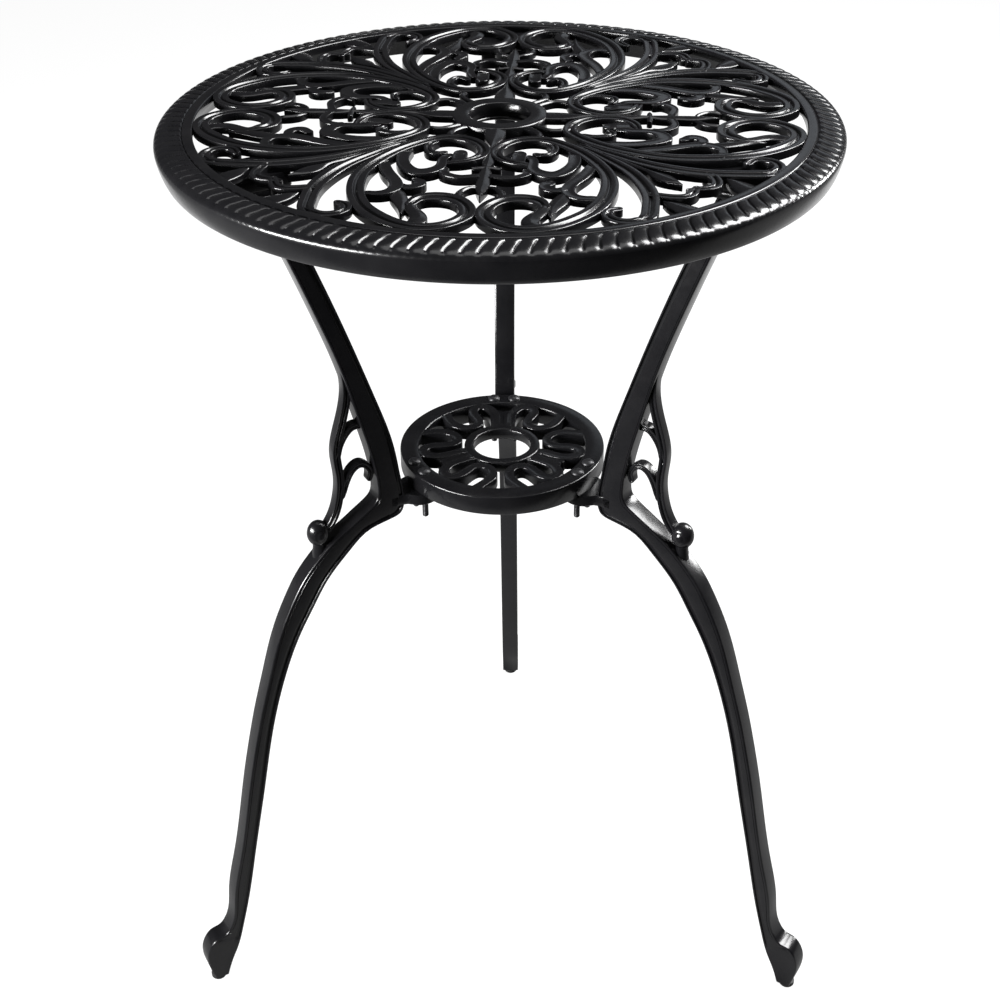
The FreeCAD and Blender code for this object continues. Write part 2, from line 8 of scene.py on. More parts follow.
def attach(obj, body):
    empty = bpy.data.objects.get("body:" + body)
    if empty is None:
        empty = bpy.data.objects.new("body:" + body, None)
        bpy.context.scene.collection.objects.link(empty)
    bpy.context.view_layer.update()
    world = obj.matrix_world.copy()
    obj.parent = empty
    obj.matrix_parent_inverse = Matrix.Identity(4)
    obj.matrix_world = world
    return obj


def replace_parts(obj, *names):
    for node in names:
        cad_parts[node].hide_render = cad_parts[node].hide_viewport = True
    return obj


# The cast patio side table as it looks, in millimetres until a mesh is made.
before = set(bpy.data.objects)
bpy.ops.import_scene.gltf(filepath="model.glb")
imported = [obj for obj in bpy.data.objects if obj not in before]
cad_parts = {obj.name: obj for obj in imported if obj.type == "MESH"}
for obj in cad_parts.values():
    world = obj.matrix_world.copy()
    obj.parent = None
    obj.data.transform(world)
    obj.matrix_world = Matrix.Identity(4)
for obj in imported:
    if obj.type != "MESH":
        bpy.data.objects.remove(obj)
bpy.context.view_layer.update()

MM = 0.001
NEAR_ZERO = 1e-6
LEG_DIRECTIONS = {"rear": 90, "front_left": 210, "front_right": 330}
SIDES = {"left": 1, "right": -1}

# Top: radii and heights.
TOP = 740.0
GRILLE_UNDERSIDE = 734.0
PATTERN_TURN = -3.3
HUB_OUTER = 34.0
HUB_BORE = 22.0
HUB_LOWER_BORE = 20.0
HUB_LEDGE = 730.0
HUB_FOOT = 727.5
HUB_SEGMENTS = 128
RING_OUTER = 225.0
JOINT_COVER = 3

# Rim sections as (radius, height): flat ring, crest of the flutes, smooth band below them.
RIM_RING = [(217.5, 739.0), (217.8, 739.7), (218.6, 740), (223.6, 740), (224.5, 739.8),
            (224.9, 739.3), (225.1, 738.8)]
RIM_CREST = [(225.3, 739.3), (226.3, 739.9), (230, 739.65), (235, 739.0), (239.5, 738.0),
             (243, 736.4), (244.7, 734.2), (245, 731.8), (244.6, 729)]
RIM_BAND = [(244.2, 727.2), (243.4, 724), (242.2, 720.5), (240.9, 717.6), (240.0, 716.5),
            (239.0, 716.0), (235.0, 716.0), (234.1, 716.4), (233.8, 717.2), (229, 726.5),
            (225, 734), (217.5, 734)]
RIM_STEPS = 26

# Flutes: each lobe starts, ends and fades at shares of the crest's length, and leans with it.
FLUTES = 144
FLUTE_DEPTH = 1.5
FLUTE_SLANT = 7.0
FLUTE_SLANT_RADIUS = 235
FLUTE_SLANT_END = 0.75
FLUTE_SLANT_EASE = 2.2
LOBE_COLUMNS = 14
LOBE_ROUNDNESS = 2.4
LOBE_START = 0.07
LOBE_FOOT = 0.95
LOBE_FOOT_ROUND = 0.22
LOBE_FADE = 0.22

# Bolt pads under the top.
PAD_HALF = (31, 19)
PAD_CORNER = 3
PAD_RADIUS = 199
PAD_SINK = 0.5
PAD_EASE = 0.6
CORNER_STEPS = 4

# Scrolls: stations along them, rounded ends, and ends that dip under what they grow out of.
STATION_SPACING = 1.6
BRACKET_SPACING = 1.2
FEWEST_STATIONS = 6
LEAST_WIDTH = 0.6
LEAST_SHARE = 0.04
ROUND_END = (0.4, 0.7, 0.88, 0.98, 1.0)
END_SINK = 0.7
END_RUN = 5.0

# Relief from a scroll's edge to its middle: (share of the half width, depth below the top).
RELIEFS = {
    "double": [(1, 1.0), (0.97, 0.42), (0.92, 0.08), (0.84, 0.0), (0.32, 0.06), (0.25, 0.25),
               (0.13, 1.5), (0.04, 1.9)],
    "band": [(1, 1.0), (0.97, 0.42), (0.92, 0.08), (0.85, 0.0), (0.74, 0.12), (0.55, 0.3),
             (0.3, 0.4), (0.1, 0.42)],
    "ridge": [(1, 1.9), (0.97, 1.45), (0.9, 1.15), (0.66, 0.7), (0.42, 0.34), (0.26, 0.14),
              (0.12, 0.03), (0.04, 0.0)],
    "flat": [(1, 1.0), (0.97, 0.4), (0.91, 0.08), (0.8, 0.0), (0.5, 0.0), (0.35, 0.0),
             (0.2, 0.0), (0.08, 0.0)],
}
FULL_RELIEF_HALF = 2.5
LEAST_RELIEF = 0.05

# The groove of a double scroll fades away on narrow stretches.
GROOVE_EDGE = 0.32
GROOVE_LEAST_HALF = 1.6
GROOVE_RUN = 2.2

# Shelf.
SHELF_TOP = 465.5
SHELF_SCROLL_FOOT = 455.5
SHELF_FOOT = 449.5
SHELF_OUTER = 82.3
SHELF_RING_INNER = 67.3
SHELF_RING_COVER = 4
SHELF_RING_SEGMENTS = 128
SHELF_HUB = 30.5
SHELF_HUB_FOOT = 456.5
SHELF_BORE = 23.0
SHELF_BORE_COVER = 2
SHELF_HUB_SEGMENTS = 96

# Scrolls of the top, the right half of a quarter: relief, height over the top, and centre line
# of (across, outward, width).
CARTOUCHE_SCROLLS = {
    "lyre": ("double", 0.0, [
        (27, 99.5, 5.5), (17, 97, 6.5), (8.2, 90, 7.5), (4.1, 79, 8.8), (6.5, 67.5, 9),
        (13, 58, 9.5), (22, 52.5, 9.5), (32, 51.5, 9.5), (42, 56, 9.5), (52, 64.5, 10),
        (61, 75, 10), (69, 88, 10.5), (76, 103, 10.5), (80.5, 118, 11), (81.8, 134, 12),
        (80.5, 150, 12), (77, 165, 12), (71, 179, 12), (62, 191.5, 12.5), (50.5, 202.5, 12.5),
        (36.5, 209, 11.5), (22, 208, 11), (11.5, 200, 10.5), (5, 186, 11), (7.8, 172, 11),
        (16, 162.5, 12), (27, 159.5, 12.5), (37, 163, 11), (42, 171, 8)]),
    "volute_lobe": ("ridge", -0.4, [
        (42.3, 168, 8), (40.5, 178, 9), (36, 187, 10.5), (34.5, 195, 11.5), (38, 204, 10)]),
    "curl_hook": ("double", -0.3, [
        (39, 58, 5), (43, 66, 5.5), (42.5, 75, 5.5), (38, 81.5, 5.5), (31.5, 79.5, 6)]),
    "curl_tab": ("band", -0.5, [(20, 96, 9), (20, 88, 10), (20, 79, 10)]),
    "inner_leaf": ("band", -0.2, [
        (56, 76, 7.5), (57.5, 86, 8.5), (57, 97, 9), (53, 109, 9.5), (45, 117.5, 10.5),
        (35.5, 114.5, 9.5), (30.5, 105, 7.5), (30.5, 94, 6.5), (27, 85, 6)]),
    "outer_leaf": ("band", -0.3, [
        (70, 97, 7.5), (67.5, 108, 8.5), (63, 121, 9), (57, 134, 9), (55.5, 146, 9),
        (60, 154, 7.5), (67.5, 156.5, 6.5), (76, 155, 6.5)]),
    "leaf_hook": ("band", -0.5, [
        (55, 138, 7), (50, 143.5, 7), (44, 143, 7.5), (40, 137, 8), (43.5, 130.5, 7)]),
    "leaf_tail": ("ridge", -0.6, [
        (54, 147, 8), (52.5, 155, 11), (50, 163, 11), (47.5, 174, 7), (46.5, 186, 1.5)]),
    "cup": ("band", -0.2, [
        (0, 121.5, 6), (8, 123.5, 5.5), (16, 125, 5.5), (23.5, 122, 6), (28, 115.5, 5.5),
        (26, 110.5, 4)]),
    "tip_scroll": ("ridge", -0.4, [(3, 139.5, 3), (9.5, 143, 4), (13.5, 149.5, 4.5), (14, 158, 6)]),
    "hub_link": ("ridge", -0.3, [(20, 25, 4.5), (27, 32, 4.5), (31, 40, 4.5), (28, 50, 5)]),
}
CARTOUCHE_SPINE = {
    "hub_petal": ("ridge", -0.2, [
        (0, 28, 14), (0, 40, 14.5), (0, 48, 13), (0, 57, 7.5), (0, 66, 2.5), (0, 76, 1.5)]),
    "spear": ("ridge", 0.0, [
        (0, 78, 1.5), (0, 90, 7), (0, 97, 8), (0, 104, 5), (0, 112, 7), (0, 117, 9),
        (0, 126, 8.5), (0, 136, 9.5), (0, 146, 6.5), (0, 156, 1)]),
    "cross_bar": ("ridge", -0.1, [(-8, 107, 4), (8, 107, 4)]),
}

# The same between two quarters.
CORNER_SCROLLS = {
    "fan": ("double", -0.4, [
        (2, 84, 2), (2.5, 92, 4.5), (3, 103, 6.5), (4.5, 115, 8.5), (6.5, 130, 10),
        (10, 145, 11), (15.5, 159, 11.5), (23, 173, 12), (33, 186, 11.5), (44, 196.5, 11.5),
        (54, 204.5, 11), (61, 207, 9.5)]),
    "fan_curl": ("double", -0.2, [
        (58, 206, 9.5), (67, 204.5, 8.5), (73, 198, 8), (73, 189, 7.5), (66.5, 183, 7),
        (59.5, 183.5, 6.5)]),
    "scallop": ("double", -0.3, [
        (27, 180, 6.5), (21.5, 191, 7.5), (12, 198, 7.5), (4, 195.5, 7), (-3, 191, 5.5)]),
    "ring_petal": ("ridge", -0.4, [(29, 194, 2), (28.5, 200, 9), (27.5, 208, 14), (26, 219.7, 15)]),
}
CORNER_SPINE = {
    "web": ("ridge", -1.3, [(0, 79, 3), (0, 86, 10), (0, 108, 17)]),
    "bud": ("ridge", -0.1, [
        (0, 104, 6), (0, 122, 5), (0, 140, 4), (0, 152, 5), (0, 157, 9), (0, 164, 12),
        (0, 173, 8), (0, 181, 1)]),
}

# Shelf scrolls, the right half of one third.
SHELF_SCROLLS = {
    "stem": ("flat", -0.4, [(3, 26.6, 8), (3, 52, 8)]),
    "scroll": ("band", 0.0, [
        (6, 29, 8), (6.5, 40, 8), (7.5, 50, 8), (11.5, 57.5, 8.5), (17.5, 61.5, 8.5),
        (23.5, 59, 8), (25.5, 52, 8), (23, 45, 8), (20.5, 39, 7.5), (20, 32.5, 7.5),
        (24.5, 27.5, 7.5), (33, 27, 7.5), (40, 31, 8), (44.5, 38.5, 8), (50.5, 55.2, 8.5)]),
}

# Leg edges as (radius, height) from the flange down, and which points stand opposite.
LEG_INNER = [(177, 718), (152.7, 657), (131.7, 600), (111.2, 539), (98, 492), (94, 465),
             (92, 443), (95.5, 433.5), (103, 430.5), (125, 425), (141, 412), (161, 391),
             (175, 369), (186, 350.5), (203, 312.5), (217.8, 265), (231.4, 203), (245.6, 138),
             (256, 90), (265, 56), (272.5, 33), (279, 19), (284, 5)]
LEG_OUTER = [(194, 718), (171.3, 662), (153, 613), (135.5, 560), (128, 530), (121, 503),
             (116, 480), (114, 462), (115.5, 451.5), (121, 446), (131, 439.5), (140, 433.5),
             (149, 428), (158, 421.3), (166.5, 413.5), (182.7, 395), (190, 383), (203.8, 355),
             (210.8, 336), (219.3, 308), (227.6, 280), (233.6, 257), (244.4, 210),
             (260.4, 133), (270, 90), (278.5, 56), (283, 52), (290, 50.5), (297, 44),
             (300.5, 33), (300, 22), (297.3, 10), (296, 5)]
LEG_OPPOSITE = [(0, 0), (6, 7), (8, 9), (19, 25), (22, 32)]
LEG_THICKNESS = 16.5
LEG_ROWS = (44, 14, 70, 26)
LEG_EASE = 0.8
CHANNEL_END = 40.0
CHANNEL_DEPTH = 1.5
CHANNEL_FADE = 3
LINE_DEPTH = 0.35
LINE_FADE = 6

# Scrolls of the leg's bracket: thickness and centre line of (radius, height, width).
BRACKET_SCROLLS = [
    (9.0, [(136.5, 572, 4), (133.3, 556, 6), (134.4, 541, 6.5), (139.6, 522, 6.5),
           (144.8, 500, 6.5), (143.3, 478, 6.5), (145.5, 458, 6.5), (151, 443, 6.5),
           (159, 432, 6)]),
    (8.4, [(121, 518, 5), (130.5, 518.5, 5), (137, 513, 5), (142, 504, 5), (144.3, 494, 5)]),
    (8.6, [(142.7, 461, 6), (136.9, 475, 5), (131.2, 482.5, 5), (125.7, 484.5, 5),
           (120.5, 481.5, 5), (117.8, 476, 5), (118.8, 470, 5)]),
]

# Ball finial: place, half sizes outward, upward and sideways, and its neck's section.
KNOB_RADIUS = 163.5
KNOB_CENTRE = 432.0
KNOB_HALF = (9.0, 11.0, 8.25)
KNOB_ROWS = 32
KNOB_COLUMNS = 40
KNOB_NECK = [(0.1, 411), (6.0, 411), (5.6, 416), (5.0, 420), (5.2, 424), (0.1, 425)]
KNOB_NECK_SEGMENTS = 24
EYE_HEIGHT = 0.45
EYE_EDGE = (0.20, 0.34)
EYE_GROOVE = 0.42
EYE_GROOVE_WIDTH = 0.07
EYE_GROOVE_DEPTH = 0.55

# Tongue under the shelf, its neck as (radius, across), and flange under the top.
LUG_CENTRE = 76
LUG_ROUND = 17.5
LUG_NECK = [(87.2, -12.6), (90.5, -9.6), (95, -8.25), (103, -8.25)]
LUG_FOOT = 440.5
LUG_STEPS = 32
FLANGE_HALF = (23, 19)
FLANGE_CORNER = 4
FLANGE_RADIUS = 194
FLANGE_FOOT = 718
FLANGE_TOP = 724

# Screws and bolts. Lathed sections are (radius, height), and start just off the axis.
NEAR_AXIS = 0.1
THREAD_ROWS = 6
THREAD_SIDES = 20
THREAD_DEPTH = 0.36
SHELF_BOLT_HEAD = [(0.1, 3.0), (1.6, 2.95), (1.7, 2.2), (1.9, 2.9), (3.0, 2.6), (4.2, 1.8),
                   (4.9, 0.9), (5.0, 0.2), (4.9, 0.0), (0.1, 0.0)]
BOLT_HEAD_SEGMENTS = 32
SHELF_BOLT_RADIUS = 2.5
SHELF_BOLT_LENGTH = 41
SHELF_BOLT_PITCH = 0.8
SHELF_BOLT_CHAMFER = 0.8
SHELF_BOLT_CIRCLE = 74.5
SHELF_BOLT_SPREAD = 8.5
TOP_BOLT_ACROSS = 10
TOP_BOLT_HEAD = ((714, 0.84), (714.5, 0.97), (715, 1.0), (718, 1.0))
TOP_BOLT_RADIUS = 3.0
TOP_BOLT_SHANK = (717.5, 732)
TOP_BOLT_PITCH = 1.0
TOP_BOLT_CIRCLE = 206
TOP_BOLT_SPREAD = 11
GLIDE_FOOT = [(0.1, 0.0), (5.2, 0.0), (6.0, 0.25), (6.5, 1.0), (6.5, 3.9), (6.2, 4.6),
              (5.6, 4.9), (0.1, 4.95)]
GLIDE_SEGMENTS = 40
GLIDE_SCREW_RADIUS = 3.0
GLIDE_SCREW = (4.9, 25)
GLIDE_PITCH = 1.0
GLIDE_CIRCLE = 291

# Floor, in metres. Painted light and shade in the coat's reflections: painted light from
# PAINTED_LIGHT_START on, painted shade before PAINTED_SHADE_END, fading beside a strip that widens
# to the back, and a painted shadow under the table around the feet.
FLOOR_REACH = 14.0
PAINTED_LIGHT_START = -0.2
PAINTED_SHADE_END = -0.48
FLOOR_HALF_WIDTH = 0.56
FLOOR_WIDENING = 0.30
FLOOR_FADE = 0.5
PAINTED_LIGHT_BESIDE = 0.25
# Floor colours that carry the painted shade and the painted light.
PAINTED_SHADE_COLOUR = 0.02
PAINTED_LIGHT_COLOUR = 0.13
FLOOR_GLOW = 0.9
# Painted shadow under the table, in the glow seen in reflections: its radius and its level.
PAINTED_SHADOW_RADIUS = 0.7
PAINTED_SHADOW_LEVEL = 0.12
WORLD_LIGHT = 0.04

# Lamps, in metres and watts: name, place, aim, width, height, power, colour.
MIDDLE = (0, 0, 0.55)
RIM_LEFT = (-0.1, -0.2, 0.72)
RIM_RIGHT = (0.15, -0.18, 0.73)
WHITE = (1, 1, 1)
COOL = (0.85, 0.92, 1.0)
SOFTBOXES = [
    ("left_box", (-2.6, -1.15, 1.0), MIDDLE, 0.5, 0.6, 25, WHITE),
    ("left_board", (-1.2, -0.86, 0.80), RIM_LEFT, 0.9, 0.35, 60, WHITE),
    ("right_box", (2.3, 1.3, 1.2), MIDDLE, 0.5, 0.8, 45, WHITE),
    ("key_box", (1.71, 0.72, 2.74), RIM_RIGHT, 1.6, 1.6, 190, WHITE),
    ("back_box", (0.9, 3.0, 1.8), MIDDLE, 1.6, 0.6, 1.6, COOL),
    ("overhead_box", (0.0, 0.2, 3.2), MIDDLE, 1.6, 1.6, 14, WHITE),
]

# Viewpoint in metres, and its yaw, downward pitch and roll in degrees.
CAMERA_PLACE = Vector((0.029485, -1.105575, 1.116447))
CAMERA_TURNS = (1.635, 32.524, -0.475)
LENS = 57.11
SENSOR_WIDTH = 36.0


def smoothstep(value, low, high):
    share = np.clip((value - low) / (high - low), 0, 1)
    return share * share * (3 - 2 * share)


class Curve:
    """Smooth curve through points, by length."""

    def __init__(self, points):
        self.points = np.array(points, float)
        steps = np.linalg.norm(np.diff(self.points[:, :2], axis=0), axis=1)
        self.knots = np.concatenate([[0], np.cumsum(steps)])
        self.bends = self.second_derivatives()

    def second_derivatives(self):
        count = len(self.knots)
        gaps = np.diff(self.knots)
        system = np.eye(count)
        wanted = np.zeros_like(self.points)
        slopes = np.diff(self.points, axis=0) / gaps[:, None]
        for i in range(1, count - 1):
            system[i, i - 1] = gaps[i - 1]
            system[i, i] = 2 * (gaps[i - 1] + gaps[i])
            system[i, i + 1] = gaps[i]
            wanted[i] = 6 * (slopes[i] - slopes[i - 1])
        return np.linalg.solve(system, wanted)

    def at(self, lengths):
        lengths = np.clip(lengths, 0, self.knots[-1])
        span = np.clip(np.searchsorted(self.knots, lengths, side="right") - 1, 0,
                       len(self.knots) - 2)
        start, gap = self.knots[span], np.diff(self.knots)[span]
        a = ((start + gap - lengths) / gap)[:, None]
        b = 1 - a
        bend = (a ** 3 - a) * self.bends[span] + (b ** 3 - b) * self.bends[span + 1]
        return a * self.points[span] + b * self.points[span + 1] + bend * (gap[:, None] ** 2) / 6


def finished(name, verts, faces, material, body, sharp):
    """A mesh object from millimetre points, riding on its body."""
    mesh = bpy.data.meshes.new(name)
    mesh.from_pydata([tuple(v) for v in np.asarray(verts) * MM], [], faces)
    mesh.validate()
    mesh.polygons.foreach_set("use_smooth", [True] * len(mesh.polygons))
    mesh.set_sharp_from_angle(angle=math.radians(sharp))
    mesh.materials.append(material)
    piece = bpy.data.objects.new(name, mesh)
    bpy.context.scene.collection.objects.link(piece)
    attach(piece, body)
    return piece


class Solid:
    """Gathers lofts into one mesh."""

    def __init__(self):
        self.verts = []
        self.faces = []
        self.count = 0

    def loft(self, rings, ends_meet=False):
        """Skin over closed rings, with flat ends unless the last ring meets the first."""
        rings = np.asarray(rings, float)
        rows, columns = rings.shape[:2]
        base = self.count
        self.verts.append(rings.reshape(-1, 3))
        self.count += rows * columns
        for i in range(rows if ends_meet else rows - 1):
            here = base + i * columns
            there = base + ((i + 1) % rows) * columns
            for j in range(columns):
                k = (j + 1) % columns
                self.faces.append((here + j, here + k, there + k, there + j))
        if not ends_meet:
            last = base + (rows - 1) * columns
            self.faces.append(tuple(range(base + columns - 1, base - 1, -1)))
            self.faces.append(tuple(range(last, last + columns)))

    def placed(self, other, matrix):
        """Add another solid's mesh, moved by a 4x4 matrix."""
        points = np.concatenate(other.verts)
        moved = points @ np.array(matrix)[:3, :3].T + np.array(matrix)[:3, 3]
        self.faces += [tuple(i + self.count for i in face) for face in other.faces]
        self.verts.append(moved)
        self.count += len(moved)

    def make(self, name, material, body="table", sharp=38):
        return finished(name, np.concatenate(self.verts), self.faces, material, body, sharp)


def turned_matrix(degrees, radius=0.0, across=0.0):
    """Stands something at a radius in a direction, and so far to its left."""
    return (Matrix.Rotation(math.radians(degrees), 4, "Z")
            @ Matrix.Translation((radius, across, 0)))


def relief(half, style):
    """Across a scroll from its left edge: (place, depth below the top) points."""
    shape = RELIEFS[style]
    if style == "double":
        groove = float(np.clip((half - GROOVE_LEAST_HALF) / GROOVE_RUN, 0, 1))
        shape = [(place, depth * groove if place <= GROOVE_EDGE else depth)
                 for place, depth in shape]
    scale = float(np.clip(half / FULL_RELIEF_HALF, LEAST_RELIEF, 1))
    left = [(-half * place, depth * scale) for place, depth in shape]
    right = [(half * place, depth * scale) for place, depth in reversed(shape)]
    return left + right


def round_end(place, along, half, sign):
    """Stations of a rounded end from its middle out: (place, direction, half width, sink)."""
    return [(place + along * (sign * half * share), along,
             half * max(math.sqrt(1 - share * share), LEAST_SHARE), END_SINK)
            for share in ROUND_END]


def stations(points, spacing):
    """Where a scroll's sections stand: (place, direction, half width, sink)."""
    curve = Curve(points)
    length = curve.knots[-1]
    count = max(FEWEST_STATIONS, int(length / spacing))
    lengths = np.linspace(0, length, count)
    places = curve.at(lengths)
    to_end = np.minimum(lengths, length - lengths)
    sunk = END_SINK * (1 - smoothstep(to_end, 0.0, END_RUN))
    halves = np.clip(places[:, 2], LEAST_WIDTH, None) / 2
    tangents = np.gradient(places[:, :2], axis=0)
    tangents /= np.linalg.norm(tangents, axis=1)[:, None]
    first, last = (max(point[2], LEAST_WIDTH) / 2 for point in (points[0], points[-1]))
    rows = round_end(places[0, :2], tangents[0], first, -1)[::-1]
    rows += [(places[i, :2], tangents[i], halves[i], sunk[i]) for i in range(count)]
    return rows + round_end(places[-1, :2], tangents[-1], last, 1)


def stroke_rings(points, style, top, bottom, spacing=STATION_SPACING, both_faces=False):
    """Rings of one scroll in the plane, its face up, its ends rounded."""
    rings = []
    for place, along, half, sink in stations(points, spacing):
        side = np.array([along[1], -along[0]])
        face = relief(half, style)
        ring = [(*(place + side * x), top - depth - sink) for x, depth in face]
        if both_faces:
            ring += [(*(place + side * x), bottom + depth + sink) for x, depth in reversed(face)]
        else:
            ring += [(*(place + side * half), bottom), (*(place - side * half), bottom)]
        rings.append(ring)
    return np.array(rings)


def between(rings, inner, outer):
    """Holds the rings' points between two radii."""
    radii = np.linalg.norm(rings[..., :2], axis=-1)
    held = np.clip(radii, inner, outer) / np.maximum(radii, NEAR_ZERO)
    rings[..., :2] *= held[..., None]
    return rings


def mirrored(rings):
    """The same scroll on the other side of the middle line."""
    flipped = rings.copy()
    flipped[..., 0] *= -1
    return flipped[:, ::-1]


def scrollwork(solid, halves, spines, turns, limits, top, bottom):
    """Lays one repeat's scrolls at every turn, the halves on both sides of its middle."""
    for degrees in turns:
        c, s = math.cos(math.radians(degrees)), math.sin(math.radians(degrees))
        turn = np.array([[c, -s, 0], [s, c, 0], [0, 0, 1]])
        for scrolls, two_sided in ((halves, True), (spines, False)):
            for style, drop, points in scrolls.values():
                rings = between(stroke_rings(points, style, top + drop, bottom), *limits)
                solid.loft(rings @ turn.T)
                if two_sided:
                    solid.loft(mirrored(rings) @ turn.T)


def lathe(solid, profile, segments):
    """Turns a closed (radius, height) profile about the Z axis."""
    rings = []
    for i in range(segments):
        angle = 2 * math.pi * i / segments
        rings.append([(r * math.cos(angle), r * math.sin(angle), z) for r, z in profile])
    solid.loft(rings, ends_meet=True)


def rounded_outline(half_x, half_y, corner):
    """Rectangle about the origin with rounded corners."""
    spots = []
    for quarter, (sx, sy) in enumerate(((1, 1), (-1, 1), (-1, -1), (1, -1))):
        for step in range(CORNER_STEPS + 1):
            angle = math.pi / 2 * (quarter + step / CORNER_STEPS)
            spots.append((sx * (half_x - corner) + corner * math.cos(angle),
                          sy * (half_y - corner) + corner * math.sin(angle)))
    return spots


def plate(solid, outline, low, high, bevel, matrix):
    """A plate with eased edges, from an outline seen from above."""
    outline = np.array(outline)
    centre = outline.mean(axis=0)
    outward = outline - centre
    reach = np.linalg.norm(outward, axis=1)[:, None]
    inset = centre + outward * (1 - bevel / reach)
    part = Solid()
    part.loft([[(x, y, z) for x, y in spots] for spots, z in
               ((inset, low), (outline, low + bevel), (outline, high - bevel), (inset, high))])
    solid.placed(part, matrix)


def rim_crest():
    """The flutes' crest in section: shares of its length, places, directions into the metal."""
    share = np.linspace(0, 1, RIM_STEPS)
    curve = Curve(RIM_CREST)
    crest = curve.at(share * curve.knots[-1])
    slope = np.gradient(crest, axis=0)
    slope /= np.linalg.norm(slope, axis=1)[:, None]
    return share, crest, np.stack([slope[:, 1], -slope[:, 0]], axis=1)


def flute_depth(across, share):
    """Depth below the crest at shares of its length, from a lobe's middle, 0, to its edge, 1."""
    lobe = math.sqrt(max(0.0, 1 - abs(across) ** LOBE_ROUNDNESS))
    foot = LOBE_FOOT - LOBE_FOOT_ROUND * across ** 2
    fade = smoothstep(share, 0.0, LOBE_START) * (1 - smoothstep(share, foot - LOBE_FADE, foot))
    return FLUTE_DEPTH * (1 - lobe) * fade


def make_rim(material):
    """Flat ring, flutes that lean as they run outward, and the smooth band below them."""
    solid = Solid()
    share, crest, inward = rim_crest()
    run = np.clip(share / FLUTE_SLANT_END, 0, 1)
    lean = FLUTE_SLANT / FLUTE_SLANT_RADIUS * (1 - (1 - run) ** FLUTE_SLANT_EASE)
    turns = np.concatenate([np.zeros(len(RIM_RING)), lean, np.full(len(RIM_BAND), lean[-1])])
    per_turn = FLUTES * LOBE_COLUMNS
    rings = []
    for i in range(per_turn):
        across = 2 * ((i % LOBE_COLUMNS) / LOBE_COLUMNS) - 1
        fluted = crest + inward * flute_depth(across, share)[:, None]
        profile = np.concatenate([RIM_RING, fluted, RIM_BAND])
        angles = 2 * math.pi * i / per_turn - turns
        rings.append(np.stack([profile[:, 0] * np.cos(angles), profile[:, 0] * np.sin(angles),
                               profile[:, 1]], axis=1))
    solid.loft(rings, ends_meet=True)
    return solid.make("rim_and_ring", material, sharp=60)


def make_grille(material):
    solid = Solid()
    limits = (HUB_BORE + JOINT_COVER, RING_OUTER - JOINT_COVER)
    for start, halves, spine in ((0, CARTOUCHE_SCROLLS, CARTOUCHE_SPINE),
                                 (45, CORNER_SCROLLS, CORNER_SPINE)):
        turns = [PATTERN_TURN + start + 90 * i for i in range(4)]
        scrollwork(solid, halves, spine, turns, limits, TOP, GRILLE_UNDERSIDE)
    return solid.make("grille_scrolls", material, sharp=50)


def make_hub(material):
    solid = Solid()
    lathe(solid, [
        (HUB_BORE, TOP - 0.9), (HUB_BORE + 0.5, TOP - 0.25), (HUB_BORE + 1.4, TOP),
        (HUB_OUTER - 1.6, TOP), (HUB_OUTER - 0.6, TOP - 0.3), (HUB_OUTER - 0.1, TOP - 1.0),
        (HUB_OUTER, HUB_FOOT + 1), (HUB_OUTER - 1, HUB_FOOT), (HUB_LOWER_BORE + 0.8, HUB_FOOT),
        (HUB_LOWER_BORE, HUB_FOOT + 0.8), (HUB_LOWER_BORE, HUB_LEDGE - 0.4),
        (HUB_LOWER_BORE + 0.4, HUB_LEDGE), (HUB_BORE, HUB_LEDGE)], HUB_SEGMENTS)
    return solid.make("umbrella_hub", material)


def make_pads(material):
    solid = Solid()
    for degrees in LEG_DIRECTIONS.values():
        plate(solid, rounded_outline(*PAD_HALF, PAD_CORNER), FLANGE_TOP,
              GRILLE_UNDERSIDE + PAD_SINK, PAD_EASE, turned_matrix(degrees, PAD_RADIUS))
    return solid.make("bolt_pads", material)


def leg_stations():
    """Opposite points of the leg's inner and outer edges, from the flange down."""
    inner, outer = Curve(LEG_INNER), Curve(LEG_OUTER)
    inner_marks = [inner.knots[i] for i, _ in LEG_OPPOSITE]
    outer_marks = [outer.knots[j] for _, j in LEG_OPPOSITE]
    inner_lengths, outer_lengths = [], []
    for k, count in enumerate(LEG_ROWS):
        steps = np.linspace(0, 1, count, endpoint=k == len(LEG_ROWS) - 1)
        inner_lengths += list(inner_marks[k] + steps * (inner_marks[k + 1] - inner_marks[k]))
        outer_lengths += list(outer_marks[k] + steps * (outer_marks[k + 1] - outer_marks[k]))
    return inner.at(np.array(inner_lengths)), outer.at(np.array(outer_lengths))


def leg_section(width, height):
    """(distance from the inner edge, half thickness) down one side of the leg.

    A channel runs along the inner edge and a fine line along the outer one. Both fade out
    above the foot.
    """
    half = LEG_THICKNESS / 2
    channel = CHANNEL_DEPTH * smoothstep(height, CHANNEL_END, CHANNEL_END + CHANNEL_FADE)
    line = LINE_DEPTH * smoothstep(height, CHANNEL_END, CHANNEL_END + LINE_FADE)
    return [(0.0, half - 1.5), (0.25, half - 0.6), (0.8, half - 0.1), (1.5, half), (2.1, half),
            (2.5, half - channel * 0.85), (2.8, half - channel), (5.9, half - channel),
            (6.3, half - channel * 0.85), (6.8, half - 0.05), (7.2, half),
            (width - 2.9, half), (width - 2.65, half - line), (width - 2.4, half),
            (width - 1.3, half), (width - 0.6, half - 0.18), (width - 0.15, half - 0.7),
            (width, half - 1.5)]


def make_leg_bar(solid):
    rings = []
    for near, far in zip(*leg_stations()):
        width = float(np.linalg.norm(far - near))
        across = (far - near) / width
        side = leg_section(width, near[1])
        ring = [(near + across * a, y) for a, y in side]
        ring += [(near + across * a, -y) for a, y in reversed(side)]
        rings.append([(radius, y, height) for (radius, height), y in ring])
    solid.loft(rings)


